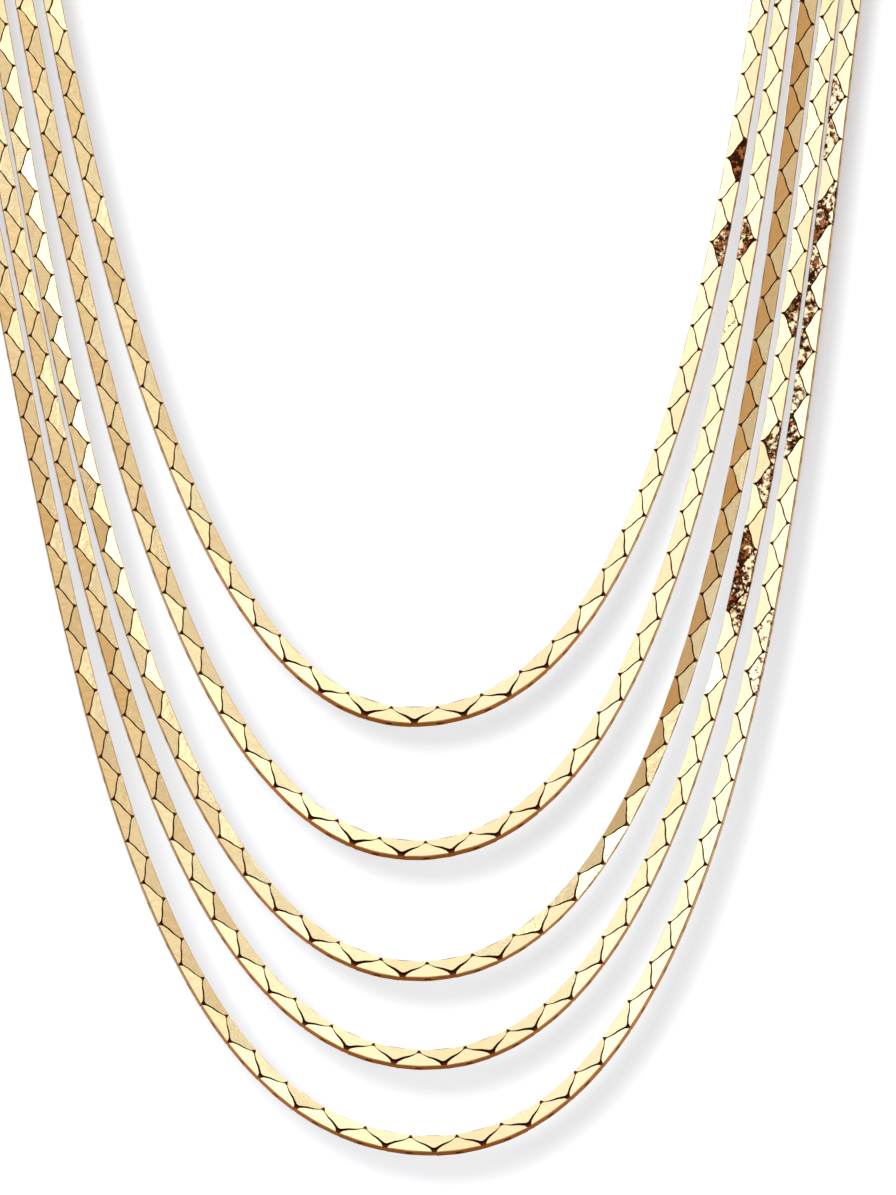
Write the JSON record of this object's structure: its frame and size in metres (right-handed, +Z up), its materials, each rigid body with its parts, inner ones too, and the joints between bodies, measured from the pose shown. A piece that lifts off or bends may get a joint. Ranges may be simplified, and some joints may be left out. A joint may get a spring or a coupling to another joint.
{
  "type": "multi strand necklace",
  "caption": "Graduated necklace of flat cobra chains side by side, joined at the nape by one plain bar clasp.",
  "frame": {"origin": "middle of the clasp's inner face, where the necklace rests on the nape", "axes": "+Z up as worn, -Y to the front where the strands hang over the chest, +X to the right of someone who looks at the front"},
  "size_m": [0.1544, 0.1308, 0.2274],
  "materials": {
    "gold_chain": "polished gold plate with fine brushed marks on each facet",
    "gold_clasp": "polished gold plate"
  },
  "bodies": {
    "root": {"strand_1": "gold_chain", "strand_2": "gold_chain", "strand_3": "gold_chain", "strand_4": "gold_chain", "strand_5": "gold_chain", "clasp": "gold_clasp"}
  },
  "joints": []
}
